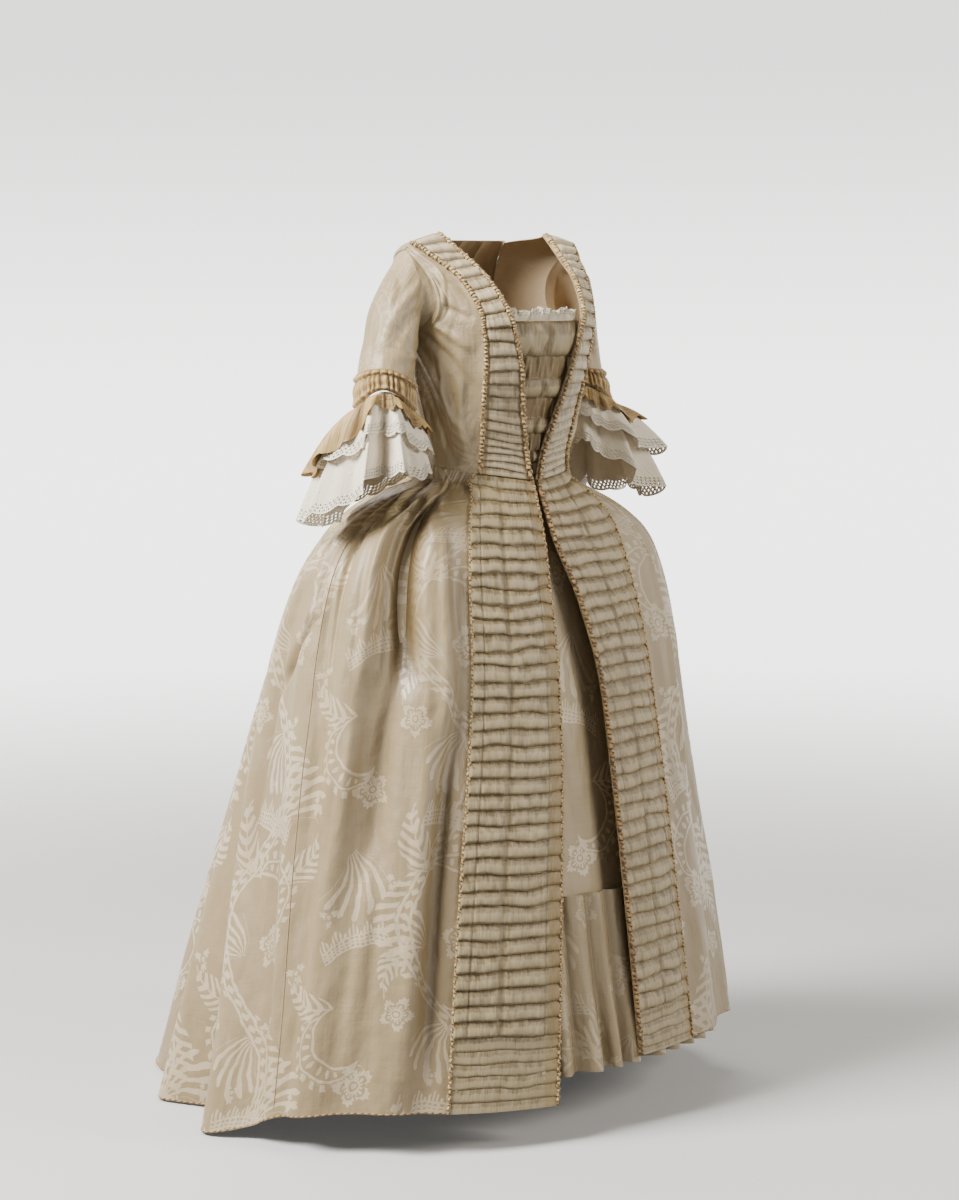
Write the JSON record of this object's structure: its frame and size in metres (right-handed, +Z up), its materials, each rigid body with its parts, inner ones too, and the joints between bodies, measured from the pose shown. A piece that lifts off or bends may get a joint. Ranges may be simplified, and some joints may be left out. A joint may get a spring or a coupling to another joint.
{
  "type": "robe à la française",
  "caption": "Open silk gown with sack back and train, ruched front trimmings, stomacher, flounced petticoat and elbow sleeves with ruffles.",
  "frame": {"origin": "middle of the shoulder line, where a wearer's shoulders carry the gown", "axes": "+Z up, -Y to the wearer's front, +X to the wearer's left; the train's hem is at z = -1.381"},
  "size_m": [0.9477, 0.9412, 1.3839],
  "materials": {
    "damask": "ivory silk damask, tone on tone",
    "trim_silk": "gathered ivory silk with tan edging",
    "tan_silk": "gathered tan silk",
    "ruffle_lawn": "sheer white linen with scalloped edges",
    "lace": "cream lace frill"
  },
  "bodies": {
    "root": {"bodice_front_right": "damask", "bodice_back_right": "damask", "robing_right": "trim_silk", "skirt_right": "damask", "skirt_trim_right": "trim_silk", "sleeve_right": "damask", "cuff_band_right": "tan_silk", "flounce_right": "tan_silk", "engageante_upper_right": "ruffle_lawn", "engageante_lower_right": "ruffle_lawn", "bodice_front_left": "damask", "bodice_back_left": "damask", "robing_left": "trim_silk", "skirt_left": "damask", "skirt_trim_left": "trim_silk", "sleeve_left": "damask", "cuff_band_left": "tan_silk", "flounce_left": "tan_silk", "engageante_upper_left": "ruffle_lawn", "engageante_lower_left": "ruffle_lawn", "stomacher": "damask", "stomacher_trim": "trim_silk", "stomacher_lace": "lace", "sack_back": "damask", "petticoat": "damask", "petticoat_flounce": "damask"}
  },
  "joints": []
}
